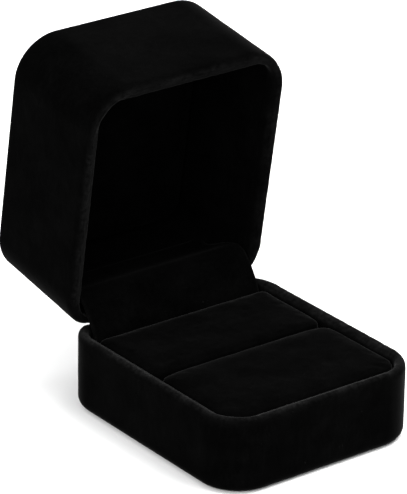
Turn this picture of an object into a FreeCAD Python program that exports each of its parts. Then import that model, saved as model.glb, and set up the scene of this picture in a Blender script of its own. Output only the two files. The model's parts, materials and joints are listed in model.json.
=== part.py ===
import FreeCAD, Part
import os
import re
import Sketcher

# Ring box with a hinged lid, standing open at the hinge's stop. Millimetres.
# Frame: origin at the centre of the lower box's underside, +Z up, the box's front towards -Y,
# the hinge axis along X near the back. Every piece of the lid is drawn closed, above the lower
# box, and the Placement OPENED turns it about the hinge axis.

Vector = FreeCAD.Vector

# Driving sizes: alias, value, meaning
SIZES = (
    ("width", 50.0, "outer width of box and lid"),
    ("depth", 57.6, "outer depth of box and lid"),
    ("base_height", 16.6, "underside to rim of the lower box"),
    ("lid_height", 28.3, "rim to top of the lid"),
    ("closed_gap", 0.4, "gap between the two rims when closed"),
    ("open_angle", 80.8, "opening of the lid at its stop, degrees"),
    ("base_corner", 9.4, "radius of the lower box's upright corners"),
    ("lid_corner", 10.0, "radius of the lid's upright corners"),
    ("lid_draft", 0.6, "inward lean of the lid's sides, degrees"),
    ("bottom_round", 2.1, "rounding of the lower box's bottom edge"),
    ("top_round", 2.0, "rounding of the lid's top edge"),
    ("base_rim_round", 1.5, "rounding of the velvet at the outer edge of the lower box's rim"),
    ("lid_rim_round", 2.0, "rounding of the velvet at the outer edge of the lid's rim"),
    ("rim_fullness", 0.25, "how much sharper the lid shell's rim is than the velvet over it"),
    ("velvet", 0.5, "thickness of the velvet"),
    ("shell_wall", 1.4, "wall of the plastic shells"),
    ("turn_in", 6.0, "depth that the velvet is turned in over a rim"),
    ("turn_under", 6.0, "width of velvet turned under the flat of the bottom"),
    ("board", 1.0, "thickness of the insert board and of the lid's top board"),
    ("board_play", 0.2, "play between the insert board and the tray"),
    ("pad_inset", 3.1, "outer face of the box to the pads' sides"),
    ("pad_drop", 0.6, "rim of the lower box down to the pads' tops"),
    ("pad_round", 1.8, "rounding of the pads' top edges"),
    ("pad_corner", 2.0, "radius of the pads' small upright corners"),
    ("slot_place", 0.3, "middle of the box forward to the middle of the ring slot"),
    ("slot_width", 1.0, "width of the ring slot"),
    ("pad_back", 20.5, "middle of the box back to the rear pad's back face"),
    ("lining", 0.5, "thickness of the lid's side lining"),
    ("lining_setback", 1.0, "lid's rim up to the lower edge of the side lining"),
    ("lid_pad", 2.0, "thickness of the foam in the lid's top"),
    ("lid_pad_play", 0.7, "play between the lid's top lining and its side lining"),
    ("leaf", 0.4, "sheet thickness of the hinge"),
    ("leaf_length", 10.0, "hinge axis to the end of each leaf"),
    ("hinge_width", 24.0, "length of the hinge along X"),
    ("pin_radius", 0.55, "hinge pin"),
    ("pin_end", 0.2, "pin past each end of the hinge"),
    ("bore_radius", 0.6, "bore of the knuckles"),
    ("pivot_rise", 0.5, "rim of the lower box up to the hinge axis"),
    ("outer_knuckle", 5.0, "length of each knuckle of the lower leaf"),
    ("inner_knuckle", 4.3, "length of each knuckle of the lid's leaf"),
    ("knuckle_gap", 0.1, "gap between knuckles along the pin"),
    ("knuckle_relief", 1.7, "depth of the notch in a leaf beside the other leaf's knuckle"),
    ("bevel_angle", 40.7, "slope of the back rims, which face each other when the lid is open"),
    ("bevel_offset", 0.15, "hinge axis to each sloped rim"),
    ("barrel_room", 1.3, "radius of the room left in the velvet round the knuckles"),
    ("cam_flat", 1.25, "hinge axis to the cam's flats"),
    ("cam_length", 5.0, "length of the cam along X"),
    ("spring_sheet", 0.3, "thickness of the snap spring"),
    ("spring_width", 4.6, "width of the snap spring"),
    ("spring_play", 0.02, "play between the spring and the cam's flat"),
    ("spring_foot", 3.5, "height of the spring's foot on the leaf"),
    ("spring_tip", 0.6, "hinge axis up to the spring's tip"),
    ("rivet_spread", 9.0, "middle of the hinge to each drive pin"),
    ("rivet_drop", 7.0, "hinge axis to the drive pins"),
    ("rivet_head_radius", 1.1, "head of a drive pin"),
    ("rivet_head", 0.3, "height of a drive pin's head"),
    ("rivet_radius", 0.5, "shank of a drive pin"),
    ("rivet_depth", 1.0, "shank length in the plastic"),
    ("window_play", 0.5, "room round the hinge in the turned-in velvet and the lining"),
    ("strip_width", 42.6, "width of the hinge cover strip"),
    ("strip_sheet", 0.6, "thickness of the hinge cover strip"),
    ("strip_gap", 1.4, "rear pad to the strip's foot"),
    ("strip_foot", 9.0, "height of the strip's lower edge"),
    ("strip_bend", 15.2, "height where the strip leans back"),
    ("strip_crest_back", 0.4, "hinge axis back to the strip's crest"),
    ("strip_crest", 22.6, "height of the strip's crest"),
    ("strip_tail", 5.0, "length of the strip inside the lid"),
    ("overrun", 1.0, "how far a cutting form runs past the piece that it cuts"),
)
ALIASES = {alias for alias, size, meaning in SIZES}

# Places that several pieces share
PIVOT_Z = "(base_height + pivot_rise)"
PIVOT_Y = "(depth / 2 - velvet - shell_wall - leaf - bore_radius)"
SHELL_INSIDE_Y = "(depth / 2 - velvet - shell_wall)"
TRAY_FLOOR = "(velvet + shell_wall)"
BOARD_TOP = "(velvet + shell_wall + board)"
PAD_TOP = "(base_height - pad_drop)"
LID_RIM = "(base_height + closed_gap)"
LID_CEILING = "(base_height + closed_gap + lid_height - velvet - shell_wall)"
KNUCKLE_RADIUS = "(bore_radius + leaf)"

doc = FreeCAD.newDocument("ring_box")
sheet = doc.addObject("Spreadsheet::Sheet", "Dims")
for row, (alias, size, meaning) in enumerate(SIZES, 1):
    sheet.set(f"A{row}", str(size))
    sheet.setAlias(f"A{row}", alias)
    sheet.set(f"B{row}", meaning)
doc.recompute()


def dims(expression):
    """The expression with the sheet's name before each alias."""
    return re.sub("[a-z_]+", lambda word: ("Dims." if word[0] in ALIASES else "") + word[0], expression)


def amount(expression):
    """The value of an expression at the sheet's sizes."""
    return float(sheet.evalExpression(dims(expression)))


def bind(thing, prop, expression):
    """Bind a property to the sheet."""
    thing.setExpression(prop, dims(expression))


CLOSED = FreeCAD.Placement()
OPENED = FreeCAD.Placement(
    Vector(),
    FreeCAD.Rotation(Vector(1, 0, 0), -amount("open_angle")),
    Vector(0, amount(PIVOT_Y), amount(PIVOT_Z)),
)


# Sketches and solids -------------------------------------------------------------------------

def new_sketch(body, role, level="0"):
    """An empty sketch on one of the body's own origin planes, raised along the plane's normal."""
    sketch = body.newObject("Sketcher::SketchObject", body.Name + "_outline")
    plane = next(feature for feature in body.Origin.OriginFeatures if feature.Role == role)
    sketch.AttachmentSupport = [(plane, "")]
    sketch.MapMode = "FlatFace"
    bind(sketch, "AttachmentOffset.Base.z", level)
    return sketch


def constrain(sketch, label, kind, places, expression):
    """A dimension of a sketch, bound to the sheet."""
    number = sketch.addConstraint(Sketcher.Constraint(kind, *places, amount(expression)))
    sketch.renameConstraint(number, label)
    bind(sketch, "Constraints." + label, expression)


def draw_rounded_outline(sketch, half_width, front, back, front_corner, back_corner):
    """A rounded rectangle: four tangent arcs joined by four lines, going round from the front right."""
    right, near, far = amount(half_width), amount(front), amount(back)
    near_radius, far_radius = amount(front_corner), amount(back_corner)
    corners = (
        (right - near_radius, near + near_radius, near_radius, -90),
        (right - far_radius, far - far_radius, far_radius, 0),
        (far_radius - right, far - far_radius, far_radius, 90),
        (near_radius - right, near + near_radius, near_radius, 180),
    )
    quarter = []
    for x, y, radius, start in corners:
        turn = FreeCAD.Rotation(Vector(0, 0, 1), start)
        middle = FreeCAD.Rotation(Vector(0, 0, 1), start + 45)
        centre = Vector(x, y, 0)
        ends = [centre + turn.multVec(Vector(radius, 0, 0)), centre + turn.multVec(Vector(0, radius, 0))]
        quarter.append(Part.Arc(ends[0], centre + middle.multVec(Vector(radius, 0, 0)), ends[1]))
    for arc, following in zip(quarter, quarter[1:] + quarter[:1]):
        sketch.addGeometry(arc)
        sketch.addGeometry(Part.LineSegment(arc.EndPoint, following.StartPoint))
    for edge in range(8):
        sketch.addConstraint(Sketcher.Constraint("Tangent", edge, 2, (edge + 1) % 8, 1))
    for edge, direction in ((1, "Vertical"), (3, "Horizontal"), (5, "Vertical"), (7, "Horizontal")):
        sketch.addConstraint(Sketcher.Constraint(direction, edge))
    sketch.addConstraint(Sketcher.Constraint("Equal", 0, 6))
    sketch.addConstraint(Sketcher.Constraint("Equal", 2, 4))
    constrain(sketch, "right_side", "DistanceX", (-1, 1, 1, 1), half_width)
    constrain(sketch, "left_side", "DistanceX", (-1, 1, 5, 1), f"-1 * {half_width}")
    constrain(sketch, "back_side", "DistanceY", (-1, 1, 3, 1), back)
    constrain(sketch, "front_side", "DistanceY", (-1, 1, 7, 1), front)
    constrain(sketch, "front_radius", "Radius", (0,), front_corner)
    constrain(sketch, "back_radius", "Radius", (2,), back_corner)


def round_edges(body, height, radius):
    """Round every edge that lies at one height of the body's solid."""
    doc.recompute()
    sharp = body.Tip
    solid = sharp.Shape
    level = solid.BoundBox.ZMax if height == "top" else solid.BoundBox.ZMin
    names = [
        f"Edge{number}"
        for number, edge in enumerate(solid.Edges, 1)
        if max(abs(edge.BoundBox.ZMax - level), abs(edge.BoundBox.ZMin - level)) < 1e-4
    ]
    rounding = body.newObject("PartDesign::Fillet", body.Name + "_" + height)
    rounding.Base = (sharp, names)
    bind(rounding, "Radius", radius)
    body.Tip = rounding


def slab(name, outline, level, top, draft="0", bottom_round=None, top_round=None, frame=CLOSED):
    """A body raised from a rounded outline, leaning in by the draft, with rounded ends if asked."""
    body = doc.addObject("PartDesign::Body", name)
    sketch = new_sketch(body, "XY_Plane", level)
    draw_rounded_outline(sketch, *outline)
    pad = body.newObject("PartDesign::Pad", name + "_pad")
    pad.Profile = sketch
    bind(pad, "Length", f"{top} - {level}")
    bind(pad, "TaperAngle", f"-1 * {draft}")
    body.Tip = pad
    if bottom_round:
        round_edges(body, "bottom", bottom_round)
    if top_round:
        round_edges(body, "top", top_round)
    body.Placement = frame
    return body


def bar(name, points, length, frame=CLOSED):
    """A body with a polygon in the YZ plane, raised equally to both sides along X."""
    body = doc.addObject("PartDesign::Body", name)
    sketch = new_sketch(body, "YZ_Plane")
    corners = [Vector(amount(y), amount(z), 0) for y, z in points]
    count = len(corners)
    for corner in range(count):
        sketch.addGeometry(Part.LineSegment(corners[corner], corners[(corner + 1) % count]))
    for corner in range(count):
        sketch.addConstraint(Sketcher.Constraint("Coincident", corner, 2, (corner + 1) % count, 1))
    for corner, (y, z) in enumerate(points):
        constrain(sketch, f"back_{corner}", "DistanceX", (-1, 1, corner, 1), y)
        constrain(sketch, f"height_{corner}", "DistanceY", (-1, 1, corner, 1), z)
    pad = body.newObject("PartDesign::Pad", name + "_pad")
    pad.Profile = sketch
    pad.SideType = "Symmetric"
    bind(pad, "Length", length)
    body.Tip = pad
    body.Placement = frame
    return body


def block(name, low, sizes, frame=CLOSED):
    """A box from its low corner and its sizes along X, Y and Z."""
    thing = doc.addObject("Part::Box", name)
    for prop, size in zip(("Length", "Width", "Height"), sizes):
        bind(thing, prop, size)
    corner = Vector(*[amount(place) for place in low])
    thing.Placement = frame.multiply(FreeCAD.Placement(corner, FreeCAD.Rotation()))
    return thing


def rod(name, direction, start, radius, length, frame=CLOSED):
    """A cylinder from the middle of one end along a direction."""
    thing = doc.addObject("Part::Cylinder", name)
    bind(thing, "Radius", radius)
    bind(thing, "Height", length)
    middle = Vector(*[amount(place) for place in start])
    turn = FreeCAD.Rotation(Vector(0, 0, 1), direction)
    thing.Placement = frame.multiply(FreeCAD.Placement(middle, turn))
    return thing


def fuse(name, things):
    """Several solids as one object."""
    whole = doc.addObject("Part::MultiFuse", name)
    whole.Shapes = things
    return whole


def cut(name, thing, tools):
    """A solid with other solids taken away."""
    result = doc.addObject("Part::Cut", name)
    result.Base = thing
    result.Tool = fuse(name + "_tools", tools) if len(tools) > 1 else tools[0]
    return result


def inset_outline(inset, corner):
    """The box's plan moved inwards by an inset."""
    side = f"(width / 2 - ({inset}))"
    end = f"(depth / 2 - ({inset}))"
    radius = f"({corner} - ({inset}))"
    return side, f"-1 * {end}", end, radius, radius


ALONG_X = Vector(1, 0, 0)
ALONG_Y = Vector(0, 1, 0)


# Hinge forms that both halves share ----------------------------------------------------------

def bevel_form(name, side, offset, frame=CLOSED):
    """Everything on the hinge's side of a sloped back rim: side is -1 below the axis, 1 above."""
    before, behind = "(0 - 3 * overrun)", "(depth / 2 - {} + overrun)".format(PIVOT_Y)
    slope = "tan(bevel_angle * 1 deg)"
    lift = f"(({offset}) / cos(bevel_angle * 1 deg))"
    far = f"({PIVOT_Z} - {side} * 6 * overrun)"
    points = [
        (f"{PIVOT_Y} + {reach}", f"{PIVOT_Z} + {side} * ({lift} + {reach} * {slope})")
        for reach in (before, behind)
    ]
    points += [(f"{PIVOT_Y} + {behind}", far), (f"{PIVOT_Y} + {before}", far)]
    return bar(name, points, "width + 2 * overrun", frame)


def barrel_room_form(name, frame=CLOSED):
    """Room in the velvet for the knuckles to turn in."""
    half = "(hinge_width / 2 + window_play)"
    return rod(name, ALONG_X, (f"-1 * {half}", PIVOT_Y, PIVOT_Z), "barrel_room", f"2 * {half}", frame)


def window_form(name, low, high, frame=CLOSED):
    """Window in the turned-in velvet and the lining over a hinge leaf."""
    half = "(hinge_width / 2 + window_play)"
    reach = "(3 * overrun)"
    return block(
        name,
        (f"-1 * {half}", f"{SHELL_INSIDE_Y} - {reach}", low),
        (f"2 * {half}", reach, f"{high} - {low}"),
        frame,
    )


def knuckle(name, start, length, frame=CLOSED):
    """One rolled knuckle, not bored yet."""
    return rod(name, ALONG_X, (start, PIVOT_Y, PIVOT_Z), KNUCKLE_RADIUS, length, frame)


def knuckle_bore(name, frame=CLOSED):
    """The bore through every knuckle of a leaf."""
    start = "-1 * (hinge_width / 2 + overrun)"
    return rod(name, ALONG_X, (start, PIVOT_Y, PIVOT_Z), "bore_radius", "hinge_width + 2 * overrun", frame)


def rivets(name, height, frame=CLOSED):
    """Two drive pins, each a round head inside the leaf and a shank in the plastic."""
    leaf_face = f"({SHELL_INSIDE_Y} - leaf)"
    pins = []
    for side in (-1, 1):
        place = f"{side} * rivet_spread"
        label = f"{name}_{'left' if side < 0 else 'right'}"
        head_start = (place, f"{leaf_face} - rivet_head", height)
        pins.append(rod(label + "_head", ALONG_Y, head_start, "rivet_head_radius", "rivet_head", frame))
        shank_start = (place, leaf_face, height)
        pins.append(rod(label + "_shank", ALONG_Y, shank_start, "rivet_radius", "leaf + rivet_depth", frame))
    return fuse(name, pins)


# Lower box -----------------------------------------------------------------------------------

def make_base_shell_and_cover(base_rivets, bottom_sheet):
    """The plastic tray, and the velvet that wraps it from the turned-in rim to the underside."""
    wall = "velvet + shell_wall"
    rim = "base_height"
    above = f"({rim} + overrun)"
    tray = slab(
        "tray_form", inset_outline("velvet", "base_corner"), "velvet", f"({rim} - velvet)",
        bottom_round="bottom_round - velvet", top_round="base_rim_round - velvet",
    )
    hollow = slab("tray_hollow", inset_outline(wall, "base_corner"), TRAY_FLOOR, above)
    shell_bevel = bevel_form("base_shell_bevel", -1, "bevel_offset + velvet")
    shell = cut("base_shell", tray, [hollow, shell_bevel, base_rivets])

    wrapped = slab(
        "base_form", inset_outline("0", "base_corner"), "0", rim,
        bottom_round="bottom_round", top_round="base_rim_round",
    )
    turned_in = f"({rim} - turn_in)"
    mouth = slab("base_mouth", inset_outline(wall + " + velvet", "base_corner"), turned_in, above)
    below = slab("base_below_turn_in", inset_outline(wall, "base_corner"), TRAY_FLOOR, turned_in)
    window = window_form("base_hinge_window", f"({PIVOT_Z} - leaf_length - window_play)", above)
    bevel = bevel_form("base_cover_bevel", -1, "bevel_offset")
    room = barrel_room_form("base_barrel_room")
    cover = cut("base_cover", wrapped, [shell, base_rivets, mouth, below, window, bevel, room, bottom_sheet])
    return shell, cover


def make_bottom_sheet():
    """Card sheet flush with the velvet turned under the bottom."""
    inset = "bottom_round + turn_under"
    side, front, back, *radii = inset_outline(inset, "base_corner")
    return slab("base_bottom_sheet", (side, front, back, "pad_corner", "pad_corner"), "0", "velvet")


def make_insert_board():
    """Card board on the tray's floor."""
    outline = inset_outline("velvet + shell_wall + board_play", "base_corner")
    return slab("insert_board", outline, TRAY_FLOOR, BOARD_TOP)


def pad_pieces(name, front, back, front_corner):
    """A foam block on the board, and the velvet over its top and sides."""
    side = "(width / 2 - pad_inset)"
    foam = slab(
        name + "_foam",
        (f"({side} - velvet)", f"({front} + velvet)", f"({back} - velvet)",
         f"({front_corner} - velvet)", "(pad_corner - velvet)"),
        BOARD_TOP, f"({PAD_TOP} - velvet)", top_round="pad_round - velvet",
    )
    outer = slab(
        name + "_pad_form", (side, front, back, front_corner, "pad_corner"),
        BOARD_TOP, PAD_TOP, top_round="pad_round",
    )
    return foam, cut(name + "_pad_cover", outer, [foam])


def make_pads():
    """The front and rear pads, with the ring slot between them."""
    slot_front = "(0 - slot_place - slot_width / 2)"
    slot_back = "(0 - slot_place + slot_width / 2)"
    pad_front = "(pad_inset - depth / 2)"
    front = pad_pieces("front", pad_front, slot_front, "(base_corner - pad_inset)")
    rear = pad_pieces("rear", slot_back, "pad_back", "pad_corner")
    return [*front, *rear]


def make_base_leaf(base_rivets):
    """Sheet leaf on the tray's back wall, rolled round the pin at both ends."""
    half = "(hinge_width / 2)"
    leaf_low = (f"-1 * {half}", f"{SHELL_INSIDE_Y} - leaf", f"{PIVOT_Z} - leaf_length")
    plate = block("base_leaf_plate", leaf_low, ("hinge_width", "leaf", "leaf_length"))
    left = knuckle("base_left_knuckle", f"-1 * {half}", "outer_knuckle")
    right = knuckle("base_right_knuckle", f"{half} - outer_knuckle", "outer_knuckle")
    whole = fuse("base_leaf_form", [plate, left, right])
    notch = block(
        "base_leaf_notch",
        (f"outer_knuckle - {half}", f"{PIVOT_Y} - overrun", f"{PIVOT_Z} - knuckle_relief"),
        ("hinge_width - 2 * outer_knuckle", "3 * overrun", "knuckle_relief + 2 * overrun"),
    )
    return cut("hinge_base_leaf", whole, [knuckle_bore("base_leaf_bore"), notch, base_rivets])


def make_pin():
    """The pin through every knuckle."""
    start = ("-1 * (hinge_width / 2 + pin_end)", PIVOT_Y, PIVOT_Z)
    return rod("hinge_pin", ALONG_X, start, "pin_radius", "hinge_width + 2 * pin_end")


def make_spring():
    """Flat spring bent to a U: its foot on the leaf, its blade against the cam's flat."""
    foot_back = f"({SHELL_INSIDE_Y} - leaf)"
    blade_back = f"({PIVOT_Y} - cam_flat - spring_play)"
    foot_top = f"({PIVOT_Z} - leaf_length + spring_foot)"
    under = f"({PIVOT_Z} - leaf_length)"
    tip = f"({PIVOT_Z} + spring_tip)"
    points = (
        (foot_back, foot_top),
        (foot_back, under),
        (f"{blade_back} - spring_sheet", under),
        (f"{blade_back} - spring_sheet", tip),
        (blade_back, tip),
        (blade_back, f"{under} + spring_sheet"),
        (f"{foot_back} - spring_sheet", f"{under} + spring_sheet"),
        (f"{foot_back} - spring_sheet", foot_top),
    )
    return bar("hinge_spring", points, "spring_width")


def make_cover_strip():
    """Velvet strip from behind the rear pad, leaning back over the hinge into the lid."""
    foot = "(pad_back + strip_gap)"
    crest = f"({PIVOT_Y} + strip_crest_back)"
    points = (
        (foot, "strip_foot"),
        (f"{foot} + strip_sheet", "strip_foot"),
        (f"{foot} + strip_sheet", "strip_bend - strip_sheet / 3"),
        (f"{crest} + strip_sheet / 4", "strip_crest - 1.2 * strip_sheet"),
        (f"{crest} + strip_tail", "strip_crest - strip_sheet"),
        (f"{crest} + strip_tail", "strip_crest"),
        (crest, "strip_crest"),
        (foot, "strip_bend"),
    )
    return bar("hinge_cover_strip", points, "strip_width")


# Lid, drawn closed and turned open -----------------------------------------------------------

def lid_slab(name, inset, level, top, **rounding):
    """A slab on the lid's plan at its level, with the lid's draft, turned open."""
    lean = f"({level} - {LID_RIM}) * tan(lid_draft * 1 deg)"
    outline = inset_outline(f"{inset} + {lean}", "lid_corner")
    return slab(name, outline, level, top, "lid_draft", frame=OPENED, **rounding)


def make_lid_shell_and_cover(lid_leaf, lid_rivets, window):
    """The plastic lid, with a seat for the leaf, and the velvet wrapped from its rim to its top."""
    wall = "velvet + shell_wall"
    below = f"({LID_RIM} - overrun)"
    top = f"({LID_RIM} + lid_height)"
    form = lid_slab(
        "lid_shell_form", "velvet", f"({LID_RIM} + velvet)", f"({top} - velvet)",
        top_round="top_round - velvet", bottom_round="lid_rim_round - velvet - rim_fullness",
    )
    hollow = lid_slab("lid_hollow", wall, below, LID_CEILING)
    shell_bevel = bevel_form("lid_shell_bevel", 1, "bevel_offset + velvet", OPENED)
    shell = cut("lid_shell", form, [hollow, shell_bevel, lid_leaf, lid_rivets])

    wrapped = lid_slab("lid_form", "0", LID_RIM, top, top_round="top_round", bottom_round="lid_rim_round")
    turned_in = f"({LID_RIM} + turn_in)"
    mouth = lid_slab("lid_mouth", wall + " + velvet", below, turned_in)
    above = lid_slab("lid_above_turn_in", wall, turned_in, LID_CEILING)
    bevel = bevel_form("lid_cover_bevel", 1, "bevel_offset", OPENED)
    room = barrel_room_form("lid_barrel_room", OPENED)
    cover = cut("lid_cover", wrapped, [shell, lid_leaf, lid_rivets, mouth, above, window, bevel, room])
    return shell, cover


def make_side_lining(window):
    """Lining band round the inside of the lid, open where the hinge leaf lies."""
    outer = "2 * velvet + shell_wall"
    start = f"({LID_RIM} + lining_setback)"
    band = lid_slab("side_lining_form", outer, start, LID_CEILING)
    past = f"({LID_CEILING} + overrun)"
    inside = lid_slab("side_lining_hollow", outer + " + lining", f"({LID_RIM} - overrun)", past)
    return cut("lid_side_lining", band, [inside, window])


def make_top_lining():
    """Card against the lid's ceiling, foam under it, and velvet wrapped round both."""
    edge = "2 * velvet + shell_wall + lining + lid_pad_play"
    foam_top = f"({LID_CEILING} - board)"
    foam_low = f"({LID_CEILING} - board - lid_pad)"
    card = lid_slab("lid_top_board", edge + " + velvet", foam_top, LID_CEILING)
    foam = lid_slab("lid_top_pad", edge + " + velvet", foam_low, foam_top, bottom_round="pad_round - velvet")
    outer = lid_slab(
        "lid_top_lining_form", edge, f"({LID_CEILING} - board - lid_pad - velvet)", LID_CEILING,
        bottom_round="pad_round",
    )
    return card, foam, cut("lid_top_lining", outer, [card, foam])


def make_lid_leaf(lid_rivets):
    """Sheet leaf on the lid's back wall, with two rolled knuckles and the snap cam between them."""
    half = "(hinge_width / 2)"
    knuckle_end = f"({half} - outer_knuckle - knuckle_gap)"
    plate_low = (f"-1 * {half}", f"{SHELL_INSIDE_Y} - leaf", PIVOT_Z)
    plate = block("lid_leaf_plate", plate_low, ("hinge_width", "leaf", "leaf_length"), OPENED)
    left = knuckle("lid_left_knuckle", f"-1 * {knuckle_end}", "inner_knuckle", OPENED)
    right = knuckle("lid_right_knuckle", f"{knuckle_end} - inner_knuckle", "inner_knuckle", OPENED)
    whole = fuse("lid_leaf_form", [plate, left, right, make_cam()])
    tools = [knuckle_bore("lid_leaf_bore", OPENED), lid_rivets]
    for side, start in (("left", f"-1 * {half} - overrun"), ("right", knuckle_end)):
        low = (start, f"{PIVOT_Y} - overrun", f"{PIVOT_Z} - 2 * overrun")
        sizes = (f"{half} - {knuckle_end} + overrun", "3 * overrun", "knuckle_relief + 2 * overrun")
        tools.append(block(f"lid_leaf_notch_{side}", low, sizes, OPENED))
    return cut("hinge_lid_leaf", whole, tools)


def make_cam():
    """Cam with two flats, one towards the front when the lid is closed and one when it is open."""
    half_turn = "tan(open_angle * 0.5 deg)"
    heel = "leaf"
    heel_drop = f"(cam_flat + {heel} * cos(open_angle * 1 deg)) / sin(open_angle * 1 deg)"
    points = (
        (f"{PIVOT_Y} - cam_flat", f"{PIVOT_Z} + 2 * leaf"),
        (f"{PIVOT_Y} - cam_flat", f"{PIVOT_Z} - cam_flat * {half_turn}"),
        (f"{PIVOT_Y} + {heel}", f"{PIVOT_Z} - {heel_drop}"),
        (f"{PIVOT_Y} + {KNUCKLE_RADIUS}", f"{PIVOT_Z} - leaf"),
        (f"{PIVOT_Y} + {KNUCKLE_RADIUS}", f"{PIVOT_Z} + 2 * leaf"),
    )
    return bar("cam_form", points, "cam_length", OPENED)


# Assembly ------------------------------------------------------------------------------------

def build():
    """Every piece of the box, in its place with the lid open."""
    base_rivets = rivets("hinge_base_rivets", f"{PIVOT_Z} - rivet_drop")
    bottom_sheet = make_bottom_sheet()
    base = [
        *make_base_shell_and_cover(base_rivets, bottom_sheet),
        bottom_sheet,
        make_insert_board(),
        *make_pads(),
        make_base_leaf(base_rivets),
        base_rivets,
        make_pin(),
        make_spring(),
        make_cover_strip(),
    ]
    lid_rivets = rivets("hinge_lid_rivets", f"{PIVOT_Z} + rivet_drop", OPENED)
    window_top = f"({PIVOT_Z} + leaf_length + window_play)"
    window = window_form("lid_hinge_window", f"({LID_RIM} - overrun)", window_top, OPENED)
    lid_leaf = make_lid_leaf(lid_rivets)
    lid = [
        *make_lid_shell_and_cover(lid_leaf, lid_rivets, window),
        make_side_lining(window),
        *make_top_lining(),
        lid_leaf,
        lid_rivets,
    ]
    return base + lid


def check(pieces):
    """Stop if anything in the document failed, or a piece isn't a valid solid."""
    for thing in doc.Objects:
        if "Invalid" in thing.State or "Error" in thing.State:
            raise RuntimeError(f"{thing.Label} failed: {thing.State}")
    for piece in pieces:
        if piece.Shape.isNull() or not piece.Shape.isValid() or not piece.Shape.Solids:
            raise RuntimeError(f"{piece.Label} isn't a valid solid")


def write(pieces):
    """One STEP file for each piece, named by its label."""
    os.makedirs("parts", exist_ok=True)
    for piece in pieces:
        piece.Shape.exportStep(f"parts/{piece.Label}.step")
        box = piece.Shape.BoundBox
        print(
            f"{piece.Label}: {len(piece.Shape.Solids)} solid(s), {piece.Shape.Volume:.1f} mm3,"
            f" x {box.XMin:.2f} {box.XMax:.2f}, y {box.YMin:.2f} {box.YMax:.2f},"
            f" z {box.ZMin:.2f} {box.ZMax:.2f}"
        )


all_pieces = build()
doc.recompute()
check(all_pieces)
write(all_pieces)
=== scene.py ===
"""Looks of a black velvet ring box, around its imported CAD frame. Lengths are in metres."""

import json
import math

import bmesh
import bpy
from mathutils import Matrix, Vector, noise


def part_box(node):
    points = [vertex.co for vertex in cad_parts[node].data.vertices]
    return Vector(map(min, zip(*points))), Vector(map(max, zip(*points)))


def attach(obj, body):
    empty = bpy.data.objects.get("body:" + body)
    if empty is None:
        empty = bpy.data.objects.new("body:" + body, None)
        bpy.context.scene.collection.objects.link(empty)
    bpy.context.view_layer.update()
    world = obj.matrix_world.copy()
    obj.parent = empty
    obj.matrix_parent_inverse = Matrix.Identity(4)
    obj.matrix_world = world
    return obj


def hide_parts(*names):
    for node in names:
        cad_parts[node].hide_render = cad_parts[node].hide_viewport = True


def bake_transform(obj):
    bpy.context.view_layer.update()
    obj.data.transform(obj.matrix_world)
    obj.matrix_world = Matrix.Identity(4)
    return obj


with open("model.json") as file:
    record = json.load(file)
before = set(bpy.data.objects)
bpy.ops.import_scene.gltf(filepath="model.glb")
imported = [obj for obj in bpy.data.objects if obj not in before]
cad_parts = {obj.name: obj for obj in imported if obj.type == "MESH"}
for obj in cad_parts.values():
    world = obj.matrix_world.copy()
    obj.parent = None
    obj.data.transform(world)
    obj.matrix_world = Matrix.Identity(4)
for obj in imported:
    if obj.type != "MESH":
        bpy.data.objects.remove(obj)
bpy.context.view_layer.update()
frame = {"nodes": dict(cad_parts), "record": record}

MM = 0.001
JOINT = frame["record"]["behaviour"]["joints"][0]
PIVOT = Vector(JOINT["pos_m"])
OPEN_ANGLE = math.radians(max(JOINT["range_deg"]))
# The lid's points are worked out closed, above the lower box, and this turns them open
OPENING = Matrix.Translation(PIVOT) @ Matrix.Rotation(-OPEN_ANGLE, 4, "X") @ Matrix.Translation(-PIVOT)

# The box's own sizes. An inset is a distance in from the outer face.
HALF_WIDTH, HALF_DEPTH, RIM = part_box("base_cover")[1]
BASE_CORNER = 9.4 * MM
LID_CORNER = 10.0 * MM
LID_DRAFT = math.radians(0.6)
LID_RIM = RIM + 0.4 * MM
LID_TOP = LID_RIM + 28.3 * MM
VELVET = 0.5 * MM
SHELL = 1.4 * MM
SHELL_INSIDE = VELVET + SHELL
WALL = 2 * VELVET + SHELL
CEILING = LID_TOP - VELVET - SHELL
TURN_IN = 6 * MM
ROLL = 3.0 * MM
LINING = 0.5 * MM
HINGE_HALF = 12.5 * MM
LEAF_TOP = PIVOT.z + 10.4 * MM

# The back rims slope, so that they face each other when the lid is open. The walls behind the hinge axis
# are drawn shorter from SHEAR_FROM up to meet the slope, and RIM_BLEND rounds where it begins.
BEVEL_ANGLE = math.radians(40.7)
BEVEL_OFFSET = 0.15 * MM
RIM_LIFT = BEVEL_OFFSET / math.cos(BEVEL_ANGLE)
RIM_BLEND = 0.5 * MM
SHEAR_FROM = 9 * MM


# Mesh helpers --------------------------------------------------------------------------------

def new_object(name, vertices, faces, rounded=True):
    """A mesh object from vertices and faces, shaded smooth if it is rounded."""
    mesh = bpy.data.meshes.new(name)
    mesh.from_pydata([tuple(vertex) for vertex in vertices], [], faces)
    mesh.validate()
    built = bmesh.new()
    built.from_mesh(mesh)
    bmesh.ops.recalc_face_normals(built, faces=built.faces)
    built.to_mesh(mesh)
    built.free()
    thing = bpy.data.objects.new(name, mesh)
    bpy.context.scene.collection.objects.link(thing)
    if rounded:
        mesh.polygons.foreach_set("use_smooth", [True] * len(mesh.polygons))
    return thing


SMALLEST_CORNER = 0.2 * MM
SAME_POINT = 1e-7


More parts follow.
